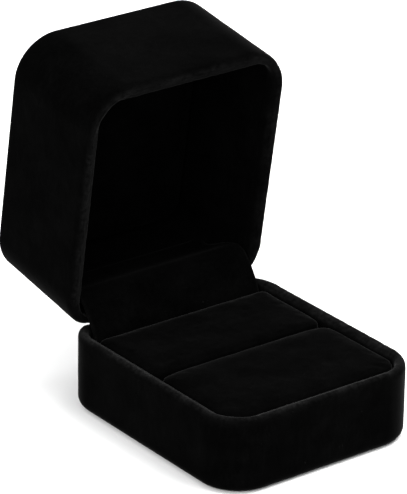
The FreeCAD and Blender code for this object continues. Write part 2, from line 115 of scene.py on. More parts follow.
class Plan:
    """A rounded rectangle in plan that can be set in. Around a rim, which is between two heights, its
    corners tighten to an inner radius from one inset to another. Elsewhere it is a plain offset. radii are
    those of its front and back corners, and step is the space between its points."""

    def __init__(self, half_width, front, back, radii, inner_radius=None,
                 tighten=(0, 0), heights=(0, 0), step=0.45 * MM):
        self.sides = (half_width, front, back)
        self.radii = radii
        self.inner_radius = inner_radius
        self.tighten = tighten
        self.heights = heights
        near, far = radii
        self.arc_steps = [max(6, round(radius * math.pi / 2 / step)) for radius in (near, far, far, near)]
        straights = (
            back - front - near - far,
            2 * (half_width - far),
            back - front - near - far,
            2 * (half_width - near),
        )
        self.line_steps = [max(2, round(length / step)) for length in straights]

    def corner_radius(self, radius, inset, height):
        """Radius of a corner at an inset and a height."""
        start, end = self.tighten
        around_rim = self.inner_radius and self.heights[0] < height < self.heights[1]
        if not around_rim or inset <= start:
            return max(radius - inset, SMALLEST_CORNER)
        share = min((inset - start) / (end - start), 1)
        tight = (radius - start) + share * (self.inner_radius - radius + start)
        return max(tight - max(inset - end, 0), SMALLEST_CORNER)

    def ring(self, inset, height=0):
        """Points and outward normals at an inset and a height."""
        half_width, front, back = self.sides
        near, far = (self.corner_radius(radius, inset, height) for radius in self.radii)
        half_width, front, back = half_width - inset, front + inset, back - inset
        corners = (
            (half_width - near, front + near, near, -90),
            (half_width - far, back - far, far, 0),
            (far - half_width, back - far, far, 90),
            (near - half_width, front + near, near, 180),
        )
        arcs = []
        for (x, y, radius, start), steps in zip(corners, self.arc_steps):
            angles = [math.radians(start + 90 * part / steps) for part in range(steps + 1)]
            normals = [Vector((math.cos(angle), math.sin(angle))) for angle in angles]
            arcs.append([(Vector((x, y)) + radius * normal, normal) for normal in normals])
        ring = []
        for number, corner in enumerate(arcs):
            ring += corner
            end, normal = corner[-1]
            following = arcs[(number + 1) % 4][0][0]
            steps = self.line_steps[number]
            ring += [(end.lerp(following, part / steps), normal) for part in range(1, steps)]
        return ring


def arc(centre, radii, start, end, steps):
    """Points (inset, height) along an elliptical arc, from one angle to another in degrees."""
    angles = [math.radians(start + (end - start) * step / steps) for step in range(steps + 1)]
    return [
        (centre[0] + radii[0] * math.cos(angle), centre[1] + radii[1] * math.sin(angle))
        for angle in angles
    ]


def line(start, end, step=0.8 * MM):
    """Points (inset, height) along a straight run, ends included."""
    length = math.dist(start, end)
    steps = max(1, round(length / step))
    return [
        (start[0] + (end[0] - start[0]) * part / steps, start[1] + (end[1] - start[1]) * part / steps)
        for part in range(steps + 1)
    ]


def joined(*runs):
    """Runs of points joined end to end, without the doubled points."""
    path = []
    for run in runs:
        for point in run:
            if not path or math.dist(path[-1], point) > SAME_POINT:
                path.append(point)
    return path


def loft(name, plan, profile, place, closed=True, pile_and_highlight=None):
    """Rings of a plan, one for each (inset, height) of a profile. place(point, normal, inset, height)
    gives the final point. A closed profile joins its last ring to its first, and an open one is capped at
    both ends. The last argument, given an (inset, height), marks how far the pile stands open there and
    how strong the painted highlight is, from 0 to 1."""
    vertices, pile_and_highlight_values = [], []
    for inset, height in profile:
        ring = plan.ring(inset, height)
        vertices += [place(point, normal, inset, height) for point, normal in ring]
        pile_and_highlight_values += [pile_and_highlight(inset, height) if pile_and_highlight else 0.0] * len(ring)
    rings = len(profile)
    count = len(vertices) // rings
    faces = []
    for ring in range(rings if closed else rings - 1):
        here, there = ring * count, (ring + 1) % rings * count
        for index in range(count):
            beside = (index + 1) % count
            faces.append((here + index, here + beside, there + beside, there + index))
    if not closed:
        for ring in (0, rings - 1):
            start = ring * count
            faces.append(tuple(range(start, start + count)))
    piece = new_object(name, vertices, faces)
    piece.data.attributes.new("pile_and_highlight", "FLOAT", "POINT").data.foreach_set("value", pile_and_highlight_values)
    return piece


def soft_min(a, b, width):
    """The lesser of two numbers, rounded off over a width."""
    blend = max(width - abs(a - b), 0) / width
    return min(a, b) - blend * blend * width / 4


def smooth(value, start, end):
    """0 before start, 1 after end, and a smooth step between."""
    part = min(max((value - start) / (end - start), 0), 1)
    return part * part * (3 - 2 * part)


def wobble(point, size, seed):
    """Smooth noise from about -1 to 1 with waves of a given size."""
    return noise.noise(Vector(point) / size + Vector((seed, 2.7 * seed, 5.1 * seed)))


# Shapes of the two halves --------------------------------------------------------------------

# Glued velvet lies unevenly: soft waves on the walls, short gathers and a wavering edge at a rim. The
# rounded edges far from the rims stay smooth.
WAVE_LENGTH = 6 * MM
WAVE_DEPTH = 0.05 * MM
GATHER_WIDTH = 0.9 * MM
GATHER_LENGTH = 4 * MM
GATHER_DEPTH = 0.07 * MM
RIM_UNEVENNESS = 0.05 * MM
RIM_UNEVEN_LENGTH = 1.6 * MM
RIM_FULL = 0.5 * MM
RIM_REACH = 2.4 * MM
SMOOTH_EDGE = 2.5 * MM
BASE_SEED = 3
LID_SEED = 8

# Gathers where the velvet turns under. A corner's share is the product of its normal's X and Y.
PLEAT_COUNT = 36
PLEAT_HEIGHT = 0.18 * MM
PLEAT_INSETS = (2.2 * MM, 4.5 * MM)
PLEAT_CORNER = (0.15, 0.4)

# The pile stands open on a rim's crest, less on its inward slope, and a little all over it, with a painted
# highlight there too
PILE_AND_HIGHLIGHT_REACH = 2.2 * MM
PILE_AND_HIGHLIGHT_EVERYWHERE = 0.12
PILE_AND_HIGHLIGHT_LOST_ON_SLOPE = 0.7
PILE_AND_HIGHLIGHT_CREST = (0.1 * MM, 1.0 * MM)
PILE_AND_HIGHLIGHT_SLOPE = (1.5 * MM, 2.2 * MM)


def slope_height(y):
    """Height of the middle plane of the sloped back rims above the hinge axis. It is negative below."""
    return (y - PIVOT.y) * math.tan(BEVEL_ANGLE)


def in_hinge_window(point, inset):
    """True where the velvet is cut short for the hinge leaf: at the back, inside the shell."""
    return abs(point.x) < HINGE_HALF and point.y > 0 and inset > SHELL_INSIDE + SAME_POINT


def ripple(spot, normal, amount, seed):
    """Uneven pull of glued velvet: soft waves, and short gathers across a folded rim."""
    across = Vector((spot.x / GATHER_WIDTH, spot.y / GATHER_WIDTH, spot.z / GATHER_LENGTH))
    gathers = noise.noise(across + Vector((seed, 0, 0)))
    waves = wobble(spot, WAVE_LENGTH, seed)
    outward = Vector((normal.x, normal.y, 0))
    return outward * (WAVE_DEPTH * waves * (1 - amount) + GATHER_DEPTH * gathers * amount)


def rim_dip(spot, amount):
    """How far an uneven rim falls short of its full height at a place."""
    return RIM_UNEVENNESS * amount * (1 + noise.noise(spot / RIM_UNEVEN_LENGTH))


def pleats(normal, inset):
    """Height of the small gathers where the velvet turns under the bottom's round corners."""
    share = smooth(abs(normal.x * normal.y), *PLEAT_CORNER) * smooth(inset, *PLEAT_INSETS)
    wave = math.sin(math.atan2(normal.y, normal.x) * PLEAT_COUNT)
    return PLEAT_HEIGHT * share * max(wave, 0) ** 2


def near_rim(depth, reach=RIM_REACH):
    """1 at a rim and 0 where a point is deeper than a reach from it."""
    return 1 - smooth(depth, RIM_FULL, reach)


def open_pile_and_highlight(inset, depth):
    """How far the pile stands open, with its painted highlight, at a place on a folded rim, most on its
    crest.
    """
    crest = smooth(inset, *PILE_AND_HIGHLIGHT_CREST) * (1 - PILE_AND_HIGHLIGHT_LOST_ON_SLOPE * smooth(inset, *PILE_AND_HIGHLIGHT_SLOPE))
    return near_rim(depth, PILE_AND_HIGHLIGHT_REACH) * (PILE_AND_HIGHLIGHT_EVERYWHERE + (1 - PILE_AND_HIGHLIGHT_EVERYWHERE) * crest)


def cleared(point, normal, inset):
    """A point of the turned-in velvet moved out to the shell's inner face, clear of the hinge leaf."""
    return point + normal * (inset - SHELL_INSIDE), SHELL_INSIDE


def base_place(point, normal, inset, height):
    """Placement for the lower box: the back rim slopes down behind the hinge axis."""
    if in_hinge_window(point, inset) and height > RIM - TURN_IN - MM:
        point, inset = cleared(point, normal, inset)
        height = max(height, RIM - VELVET)
    amount = near_rim(RIM - height)
    top = soft_min(RIM, PIVOT.z - RIM_LIFT - slope_height(point.y), RIM_BLEND)
    if height > SHEAR_FROM:
        height = SHEAR_FROM + (height - SHEAR_FROM) * (top - SHEAR_FROM) / (RIM - SHEAR_FROM)
    spot = Vector((*point, height))
    if height < VELVET:
        spot.z += pleats(normal, inset)
    elif height > SMOOTH_EDGE:
        spot += ripple(spot, normal, amount, BASE_SEED)
        spot.z -= rim_dip(spot, amount)
    return spot


def lid_place(point, normal, inset, height):
    """Placement for the lid: leans in by the draft, its back rim slopes, and it is turned open."""
    if in_hinge_window(point, inset) and height < LID_RIM + TURN_IN + MM:
        point, inset = cleared(point, normal, inset)
        height = min(height, LID_RIM + VELVET)
    amount = near_rim(height - LID_RIM)
    flat = point - normal * lean(height)
    bottom = -soft_min(-LID_RIM, -(PIVOT.z + RIM_LIFT + slope_height(flat.y)), RIM_BLEND)
    shear_to = LID_RIM + RIM - SHEAR_FROM
    if height < shear_to:
        height = shear_to - (shear_to - height) * (shear_to - bottom) / (shear_to - LID_RIM)
    spot = Vector((*flat, height))
    if height < LID_TOP - SMOOTH_EDGE:
        spot += ripple(spot, normal, amount, LID_SEED)
        spot.z += rim_dip(spot, amount)
    return OPENING @ spot


def lean(height):
    """How far the lid's walls have come in at a height above its rim."""
    return (height - LID_RIM) * math.tan(LID_DRAFT)


BASE_INNER_CORNER = 4.5 * MM
LID_INNER_CORNER = 5.0 * MM
BASE_PLAN = Plan(HALF_WIDTH, -HALF_DEPTH, HALF_DEPTH, (BASE_CORNER, BASE_CORNER), BASE_INNER_CORNER,
                 (SHELL_INSIDE, ROLL), (RIM / 3, RIM * 2))
LID_PLAN = Plan(HALF_WIDTH, -HALF_DEPTH, HALF_DEPTH, (LID_CORNER, LID_CORNER), LID_INNER_CORNER,
                (SHELL_INSIDE, ROLL), (LID_RIM - MM, (LID_RIM + LID_TOP) / 2))

# A rolled rim rises to its crest, slopes down inwards to its shoulder, and settles on the wall
RIM_CREST = 1.1 * MM
RIM_SLOPE_END = 2.6 * MM
RIM_EASE = 0.35 * MM
RIM_LEAN = math.radians(28)
SLOPE_STEPS_MM = (0.15, 0.3, 0.5, 0.75, 1.0, 1.25, 1.5)
SETTLE_STEPS_MM = (2, 2.8, 3.6, 4.4, 5.2)
SETTLE_START_MM, SETTLE_END_MM = 2, 5
SETTLED = 5.4 * MM


def rim_fall(reach):
    """How far a rolled rim's inward slope has fallen at a reach from its crest."""
    return math.tan(RIM_LEAN) * (math.hypot(reach, RIM_EASE) - RIM_EASE)


def rolled_rim(rim, towards, outer_round):
    """Profile of velvet folded over a rim, from the outer face to the end of its turn-in. towards is 1
    where the rim is a piece's top and -1 where it is its bottom."""

    def spot(inset, depth):
        return inset, rim - towards * depth

    turn = [
        spot(RIM_CREST - RIM_CREST * math.cos(angle), outer_round - outer_round * math.sin(angle))
        for angle in map(math.radians, range(0, 91, 9))
    ]
    slope = [spot(RIM_CREST + reach * MM, rim_fall(reach * MM)) for reach in SLOPE_STEPS_MM]
    radius = (ROLL - RIM_SLOPE_END) / (1 - math.sin(RIM_LEAN))
    fallen = rim_fall(RIM_SLOPE_END - RIM_CREST)
    shoulder = [
        spot(RIM_SLOPE_END + radius * (math.sin(angle) - math.sin(RIM_LEAN)),
             fallen + radius * (math.cos(RIM_LEAN) - math.cos(angle)))
        for angle in map(math.radians, range(38, 91, 13))
    ]
    settle = [
        spot(ROLL - (ROLL - WALL) * smooth(depth, SETTLE_START_MM, SETTLE_END_MM), depth * MM)
        for depth in SETTLE_STEPS_MM
    ]
    return joined(turn, slope, shoulder, settle, line(spot(WALL, SETTLED), spot(WALL, TURN_IN)))


# The velvet's hidden face on the shell is a little deeper than the velvet is thick, and has wider steps
HIDDEN_FACE = VELVET + 0.02 * MM
HIDDEN_STEP = 2 * MM
BASE_HIDDEN_ROUND = 1.5 * MM
LID_HIDDEN_ROUND = 2 * MM


def make_base_velvet():
    """Velvet of the lower box: turned under the bottom, up the sides, rolled over the rim and in."""
    bottom_round, outer_round = 2.1 * MM, 1.6 * MM
    turn_under = 6 * MM
    under = bottom_round + turn_under
    hidden, bend = HIDDEN_FACE, BASE_HIDDEN_ROUND
    profile = joined(
        line((under, 0), (bottom_round, 0)),
        arc((bottom_round, bottom_round), (bottom_round, bottom_round), 270, 180, 8),
        line((0, bottom_round), (0, RIM - outer_round)),
        rolled_rim(RIM, 1, outer_round),
        line((SHELL_INSIDE, RIM - TURN_IN), (SHELL_INSIDE, RIM - HIDDEN_STEP)),
        line((SHELL_INSIDE, RIM - hidden), (bend, RIM - hidden)),
        arc((bend, RIM - bend), (bend - hidden, bend - hidden), 90, 180, 6),
        line((hidden, RIM - bend), (hidden, bottom_round), HIDDEN_STEP),
        arc((bottom_round, bottom_round), (bottom_round - hidden, bottom_round - hidden), 180, 270, 5),
        line((bottom_round, hidden), (under, hidden), HIDDEN_STEP),
    )
    piece = loft("base_velvet", BASE_PLAN, profile, base_place,
                 pile_and_highlight=lambda inset, height: open_pile_and_highlight(inset, RIM - height))
    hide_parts("base_cover")
    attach(piece, "base")
    return piece


def make_lid_velvet():
    """Velvet of the lid: over the top, down the sides, rolled over the rim and turned in."""
    top_round, outer_round = 2.0 * MM, 2.0 * MM
    hidden, bend = HIDDEN_FACE, LID_HIDDEN_ROUND
    middle = LID_CORNER - 2.5 * MM
    profile = joined(
        line((middle, LID_TOP), (top_round, LID_TOP)),
        arc((top_round, LID_TOP - top_round), (top_round, top_round), 90, 180, 10),
        line((0, LID_TOP - top_round), (0, LID_RIM + outer_round)),
        rolled_rim(LID_RIM, -1, outer_round),
        line((SHELL_INSIDE, LID_RIM + TURN_IN), (SHELL_INSIDE, LID_RIM + HIDDEN_STEP)),
        line((SHELL_INSIDE, LID_RIM + hidden), (bend, LID_RIM + hidden)),
        arc((bend, LID_RIM + bend), (bend - hidden, bend - hidden), 270, 180, 6),
        line((hidden, LID_RIM + bend), (hidden, LID_TOP - top_round), HIDDEN_STEP),
        arc((top_round, LID_TOP - top_round), (top_round - hidden, top_round - hidden), 180, 90, 5),
        line((top_round, LID_TOP - hidden), (middle, LID_TOP - hidden), HIDDEN_STEP),
    )
    piece = loft("lid_velvet", LID_PLAN, profile, lid_place, closed=False,
                 pile_and_highlight=lambda inset, height: open_pile_and_highlight(inset, height - LID_RIM))
    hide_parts("lid_cover")
    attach(piece, "lid")
    return piece


def make_side_lining():
    """Lining band inside the lid, cut away over the hinge leaf."""
    start = LID_RIM + 1.0 * MM
    outer, inner = WALL, WALL + LINING
    edge = LINING / 2
    cut_ease = 0.8 * MM
    wave_length, wave_depth, seed = 8 * MM, 0.05 * MM, 21
    profile = joined(
        line((inner, CEILING), (inner, start + edge)),
        arc((inner - edge, start + edge), (edge, edge), 0, -180, 6),
        line((outer, start + edge), (outer, CEILING), HIDDEN_STEP),
    )

    def place(point, normal, inset, height):
        if point.y > 0:
            cut = smooth(-abs(point.x), -HINGE_HALF - cut_ease, -HINGE_HALF)
            foot = start + cut * (LEAF_TOP - start)
            height = foot + (height - start) * (CEILING - foot) / (CEILING - start)
        spot = Vector((*(point - normal * lean(height)), height))
        wave = wave_depth * wobble(spot, wave_length, seed)
        return OPENING @ (spot + Vector((*normal, 0)) * wave)

    piece = loft("lid_band_lining", LID_PLAN, profile, place)
    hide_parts("lid_side_lining")
    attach(piece, "lid")
    return piece


# Padded pieces -------------------------------------------------------------------------------

def padded_block(name, plan, low, high, edge, most, voxel):
    """A foam block under fabric: a block from one height to another with a radius along its top edges,
    swollen by cloth simulation by at most a distance. voxel is the size of its mesh."""
    cell = 0.8 * MM
    middle = 3.5 * MM

    def stand(point, normal, inset, height):
        return Vector((*point, height))

    profile = joined(
        line((middle, low), (0, low), cell),
        line((0, low), (0, high - edge), cell),
        arc((edge, high - edge), (edge, edge), 180, 90, 6),
        line((edge, high), (middle, high), cell),
    )
    piece = loft(name, plan, profile, stand, closed=False)
    swell(piece, low, high, most, voxel)
    return piece


SIMULATION_SCALE = 20
SIMULATION_FRAMES = 20
HELD_SHARE = 0.35


def swell(piece, low, high, most, voxel):
    """Swell a block like a stuffed cover: remesh it, inflate it as cloth with its lower part held, and
    keep every point within a distance of where it was."""
    piece.data.transform(Matrix.Scale(SIMULATION_SCALE, 4))
    remesh = piece.modifiers.new("even_mesh", "REMESH")
    remesh.mode = "VOXEL"
    remesh.voxel_size = voxel * SIMULATION_SCALE
    apply_modifiers(piece)
    before = [vertex.co.copy() for vertex in piece.data.vertices]
    inflate(piece, (low + (high - low) * HELD_SHARE) * SIMULATION_SCALE)
    limit = most * SIMULATION_SCALE
    for vertex, start in zip(piece.data.vertices, before):
        move = vertex.co - start
        if move.length > limit:
            vertex.co = start + move.normalized() * limit
    piece.data.transform(Matrix.Scale(1 / SIMULATION_SCALE, 4))
    rounding = piece.modifiers.new("fine_mesh", "SUBSURF")
    rounding.levels = rounding.render_levels = 1
    apply_modifiers(piece)
    piece.data.polygons.foreach_set("use_smooth", [True] * len(piece.data.polygons))


def inflate(piece, grip):
    """Run a piece as cloth under pressure, with no gravity and everything below a level held."""
    held = piece.vertex_groups.new(name="held")
    held.add([vertex.index for vertex in piece.data.vertices if vertex.co.z < grip], 1.0, "REPLACE")
    cloth = piece.modifiers.new("swelling", "CLOTH")
    settings = cloth.settings
    settings.use_pressure = True
    settings.uniform_pressure_force = 4
    settings.vertex_group_mass = "held"
    settings.quality = 5
    settings.mass = 0.3
    settings.tension_stiffness = 12
    settings.compression_stiffness = 12
    settings.bending_stiffness = 0.5
    settings.effector_weights.gravity = 0
    cloth.collision_settings.use_collision = False
    scene = bpy.context.scene
    for number in range(1, SIMULATION_FRAMES + 1):
        scene.frame_set(number)
    apply_modifiers(piece)
    scene.frame_set(1)
    piece.vertex_groups.clear()


def apply_modifiers(piece):
    """Turn what a piece's modifiers make into its own mesh."""
    graph = bpy.context.evaluated_depsgraph_get()
    graph.update()
    made = bpy.data.meshes.new_from_object(piece.evaluated_get(graph))
    piece.modifiers.clear()
    old = piece.data
    piece.data = made
    made.name = piece.name
    bpy.data.meshes.remove(old)


def reshape(piece, place):
    """Move each of a piece's points to where place puts it."""
    for vertex in piece.data.vertices:
        vertex.co = place(vertex.co)


def mark_pile_and_highlight(piece, amount):
    """Mark how far the pile stands open, and how strong the painted highlight is, at each of a piece's
    points.
    """
    pile_and_highlight_values = [amount(vertex.co) for vertex in piece.data.vertices]
    layer = piece.data.attributes.get("pile_and_highlight") or piece.data.attributes.new("pile_and_highlight", "FLOAT", "POINT")
    layer.data.foreach_set("value", pile_and_highlight_values)


PAD_PLAY = 0.05 * MM
PAD_TOP_DROP = 0.25 * MM
PAD_EDGE = 0.5 * MM
PAD_SWELL = 0.3 * MM
PAD_VOXEL = 0.6 * MM
PAD_SPACE = 0.1 * MM
SLOT_CORNER = 2.0 * MM
FRONT_CORNER = 4.8 * MM
BACK_CORNER = 1.6 * MM

# The pads' covers are pulled down and in at the ends of the slot
PULL_LENGTH = 5 * MM
PULL_DOWN = 0.45 * MM
PULL_IN = 0.5 * MM
PULL_START, PULL_FULL = 0.72, 1.05

# Their pile stands open along the top of their edges, and a highlight is painted there
EDGE_PILE_AND_HIGHLIGHT_FULL, EDGE_PILE_AND_HIGHLIGHT_END = 0.4 * MM, 1.3 * MM
TOP_PILE_AND_HIGHLIGHT_START, TOP_PILE_AND_HIGHLIGHT_FULL = 1.1 * MM, 0.3 * MM


def make_pad(name, slot_face, slot_side, radii, seed):
    """One of the two pads, up against its neighbour at slot_face, which is on its +Y side if slot_side
    is 1 and on its -Y side if it is -1."""
    low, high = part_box(name + "_cover")
    front, back = (low[1], slot_face) if slot_side > 0 else (slot_face, high[1])
    half = HALF_WIDTH - ROLL - PAD_PLAY
    plan = Plan(half, front, back, radii)
    pad = padded_block(name, plan, low[2], high[2] - PAD_TOP_DROP, PAD_EDGE, PAD_SWELL, PAD_VOXEL)

    def place(spot):
        x = min(max(spot.x, -half), half)
        y = min(max(spot.y, front), back)
        share = smooth(spot.z, low[2], high[2])
        near_slot = smooth(slot_side * (y - slot_face), -PULL_LENGTH, 0)
        drop = near_slot * smooth(abs(x) / half, PULL_START, PULL_FULL) * share
        nap = 0.07 * MM * wobble(spot, 5 * MM, seed) + 0.04 * MM * wobble(spot, 2 * MM, seed)
        return Vector((x, y - slot_side * PULL_IN * drop, spot.z - PULL_DOWN * drop + nap * share))

    def edge_pile_and_highlight(spot):
        # Painted highlight: the top of the right and back edges is painted lighter for the light those
        # sides catch, and the pile is marked open there
        inside = min(half - spot.x, back - spot.y)
        near_top = smooth(spot.z, high[2] - TOP_PILE_AND_HIGHLIGHT_START, high[2] - TOP_PILE_AND_HIGHLIGHT_FULL)
        return (1 - smooth(inside, EDGE_PILE_AND_HIGHLIGHT_FULL, EDGE_PILE_AND_HIGHLIGHT_END)) * near_top

    reshape(pad, place)
    mark_pile_and_highlight(pad, edge_pile_and_highlight)
    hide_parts(name + "_cover", name.replace("pad", "foam"))
    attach(pad, "base")
    return pad


def make_pads():
    """The two pads either side of the ring slot."""
    gap = (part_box("front_pad_cover")[1][1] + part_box("rear_pad_cover")[0][1]) / 2
    return (
        make_pad("front_pad", gap - PAD_SPACE, 1, (FRONT_CORNER, SLOT_CORNER), seed=5),
        make_pad("rear_pad", gap + PAD_SPACE, -1, (SLOT_CORNER, BACK_CORNER), seed=11),
    )


def make_top_lining():
    """Padded lining under the lid's ceiling."""
    thick = 3.1 * MM
    play = 0.6 * MM
    corner = 4.4 * MM
    edge, most, voxel = 1.3 * MM, 0.6 * MM, 0.9 * MM
    wave_length, wave_depth, seed = 9 * MM, 0.08 * MM, 31
    inset = WALL + LINING + lean(CEILING) + play
    plan = Plan(HALF_WIDTH - inset, inset - HALF_DEPTH, HALF_DEPTH - inset, (corner, corner))
    pad = padded_block("lid_padded_lining", plan, 0, thick, edge, most, voxel)

    def place(spot):
        wave = wave_depth * wobble(spot, wave_length, seed) * smooth(spot.z, MM, thick)
        return OPENING @ Vector((spot.x, spot.y, CEILING - spot.z - wave))

    reshape(pad, place)
    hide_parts("lid_top_lining", "lid_top_pad")
    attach(pad, "lid")
    return pad


# Hinge strip ---------------------------------------------------------------------------------

def smooth_line(points, steps):
    """A smooth line through points, with a number of steps between each pair."""
    ends = [2 * points[0] - points[1], *points, 2 * points[-1] - points[-2]]
    path = []
    for a, b, c, d in zip(ends, ends[1:], ends[2:], ends[3:]):
        for step in range(steps):
            t = step / steps
            path.append(0.5 * (2 * b + (c - a) * t + (2 * a - 5 * b + 4 * c - d) * t * t
                               + (3 * b - a - 3 * c + d) * t * t * t))
    path.append(points[-1])
    return path


STRIP_THICK = 0.5 * MM
STRIP_PLAY = 0.05 * MM
STRIP_BEHIND_PAD = 0.75 * MM
STRIP_LANDING = 12 * MM
STRIP_TAIL = 15.5 * MM
STRIP_CREST_MM = ((23.5, 18.6), (25.0, 20.7), (26.8, 22.4), (29.0, 22.9), (31.6, 21.9), (34.4, 20.4))
STRIP_STEPS = 6
STRIP_COLUMNS = 60
STRIP_SEED = 41
STRIP_PUFF = 0.12 * MM
STRIP_PUFF_LENGTH = 7 * MM
STRIP_EDGE_PILE_AND_HIGHLIGHT = 0.6
TAIL_TAPER = 0.08
CONFORM_START, CONFORM_FULL = 0.60, 0.9
LINING_CORNER = 5.25 * MM
MOST_OF_CORNER = 0.98


def strip_route():
    """The strip's middle line: up behind the rear pad, over the hinge, and down onto the lid's lining."""
    behind_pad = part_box("rear_pad_cover")[1][1] + STRIP_BEHIND_PAD

    def on_lid(along):
        off = lean(PIVOT.z + along) + STRIP_THICK / 2 + STRIP_PLAY
        return OPENING @ Vector((0, PIVOT.y - off, PIVOT.z + along))

    return [
        Vector((0, behind_pad, 9.5 * MM)),
        Vector((0, behind_pad, 13 * MM)),
        Vector((0, behind_pad + 0.6 * MM, 15.9 * MM)),
        *(Vector((0, y * MM, z * MM)) for y, z in STRIP_CREST_MM),
        on_lid(STRIP_LANDING),
        on_lid(STRIP_TAIL),
    ]


def make_hinge_strip():
    """Velvet strip from behind the rear pad, over the hinge, onto the lid's back lining. It conforms to
    the lining's round corners towards its tail and is loose before."""
    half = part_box("hinge_cover_strip")[1][0]
    path = smooth_line(strip_route(), STRIP_STEPS)
    across = STRIP_COLUMNS
    corner = LINING_CORNER - STRIP_THICK
    flat_half = HALF_WIDTH - WALL - LINING - LINING_CORNER
    count = len(path)
    faces_of = {1: [], -1: []}
    for number, spot in enumerate(path):
        ahead = path[min(number + 1, count - 1)] - path[max(number - 1, 0)]
        normal = Vector((0, -ahead.z, ahead.y)).normalized()
        conform = smooth(number / (count - 1), CONFORM_START, CONFORM_FULL)
        reach = half * (1 - TAIL_TAPER * conform)
        for column in range(across + 1):
            x = reach * (2 * column / across - 1)
            over = min(max(abs(x) - flat_half, 0), corner * MOST_OF_CORNER)
            rise = corner - math.sqrt(corner ** 2 - over ** 2)
            lift = wobble((x, spot.y, spot.z), STRIP_PUFF_LENGTH, STRIP_SEED)
            puff = STRIP_PUFF * lift * (1 - conform)
            here = Vector((x, spot.y, spot.z)) + normal * (rise * conform + puff)
            for face, points in faces_of.items():
                points.append(here + normal * face * STRIP_THICK / 2)
    width = across + 1
    under = count * width
    faces = []
    for row in range(count - 1):
        for column in range(across):
            first = row * width + column
            quad = (first, first + 1, first + width + 1, first + width)
            faces.append(quad)
            faces.append(tuple(under + index for index in reversed(quad)))
    rim = list(range(width))
    rim += [row * width + across for row in range(1, count)]
    rim += [(count - 1) * width + column for column in reversed(range(across))]
    rim += [row * width for row in reversed(range(1, count - 1))]
    for here, there in zip(rim, rim[1:] + rim[:1]):
        faces.append((here, there, under + there, under + here))
    piece = new_object("hinge_strip", faces_of[1] + faces_of[-1], faces)
    # Painted highlight: the strip's side edges get a lighter tone for the light they catch, and their pile
    # is marked open
    edges = [0.0 if 0 < column < across else STRIP_EDGE_PILE_AND_HIGHLIGHT for column in range(width)] * (2 * count)
    piece.data.attributes.new("pile_and_highlight", "FLOAT", "POINT").data.foreach_set("value", edges)
    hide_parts("hinge_cover_strip")
    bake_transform(piece)
    return piece


# Materials -----------------------------------------------------------------------------------

class Shader:
    """A material's node tree, built up node by node."""

    def __init__(self, name):
        self.material = bpy.data.materials.new(name)
        self.material.use_nodes = True
        self.nodes = self.material.node_tree.nodes
        self.links = self.material.node_tree.links
        self.bsdf = next(node for node in self.nodes if node.type == "BSDF_PRINCIPLED")
        self.place = self.add("ShaderNodeTexCoord").outputs["Object"]

    def add(self, kind, **values):
        """A node with some of its inputs or properties set."""
        node = self.nodes.new(kind)
        for key, value in values.items():
            name = key.replace("_", " ")
            if name in node.inputs:
                node.inputs[name].default_value = value
            else:
                setattr(node, key, value)
        return node

    def link(self, source, target):
        """Join two sockets."""
        self.links.new(source, target)

    def noise(self, size, detail=2.0, roughness=0.5, stretch=None):
        """Noise with features of a size in metres, as a factor from 0 to 1."""
        node = self.add("ShaderNodeTexNoise", Scale=1 / size, Detail=detail, Roughness=roughness)
        source = self.place
        if stretch:
            mapping = self.add("ShaderNodeMapping")
            mapping.inputs["Scale"].default_value = stretch
            self.link(source, mapping.inputs["Vector"])
            source = mapping.outputs["Vector"]
        self.link(source, node.inputs["Vector"])
        return node.outputs["Fac"]

    def ramp(self, source, *stops):
        """Map a factor through (position, level) stops."""
        node = self.add("ShaderNodeValToRGB")
        elements = node.color_ramp.elements
        while len(elements) < len(stops):
            elements.new(0.5)
        for element, (position, level) in zip(elements, stops):
            element.position = position
            element.color = (level, level, level, 1) if isinstance(level, float) else (*level, 1)
        self.link(source, node.inputs["Fac"])
        return node.outputs["Color"]

    def mix(self, kind, factor, first, second):
        """Mix two colours, each a socket or a colour, by a socket or a number."""
        node = self.add("ShaderNodeMix", data_type="RGBA", blend_type=kind)
        inputs = [socket for socket in node.inputs if socket.enabled]
        for socket, value in zip(inputs, (factor, first, second)):
            if isinstance(value, bpy.types.NodeSocket):
                self.link(value, socket)
            else:
                socket.default_value = value if isinstance(value, float) else (*value, 1)
        return next(socket for socket in node.outputs if socket.enabled)

    def bump(self, source, distance, strength, after=None):
        """Bump from a height socket, on top of another bump if given."""
        node = self.add("ShaderNodeBump", Strength=strength, Distance=distance)
        self.link(source, node.inputs["Height"])
        if after:
            self.link(after, node.inputs["Normal"])
        return node.outputs["Normal"]

    def colour(self, source):
        """Use a socket as the base colour."""
        self.link(source, self.bsdf.inputs["Base Color"])

    def set(self, **values):
        """Set plain values of the shader's own sockets."""
        for key, value in values.items():
            self.bsdf.inputs[key.replace("_", " ")].default_value = value


# Sizes of what shows in the velvet
STREAK = 1.1 * MM
PILE = 0.16 * MM
TUFT = 0.9 * MM
WORN_PATCH = 6 * MM
LINT = 0.42 * MM
LINT_PATCH = 5 * MM
LINT_LIGHT = 8


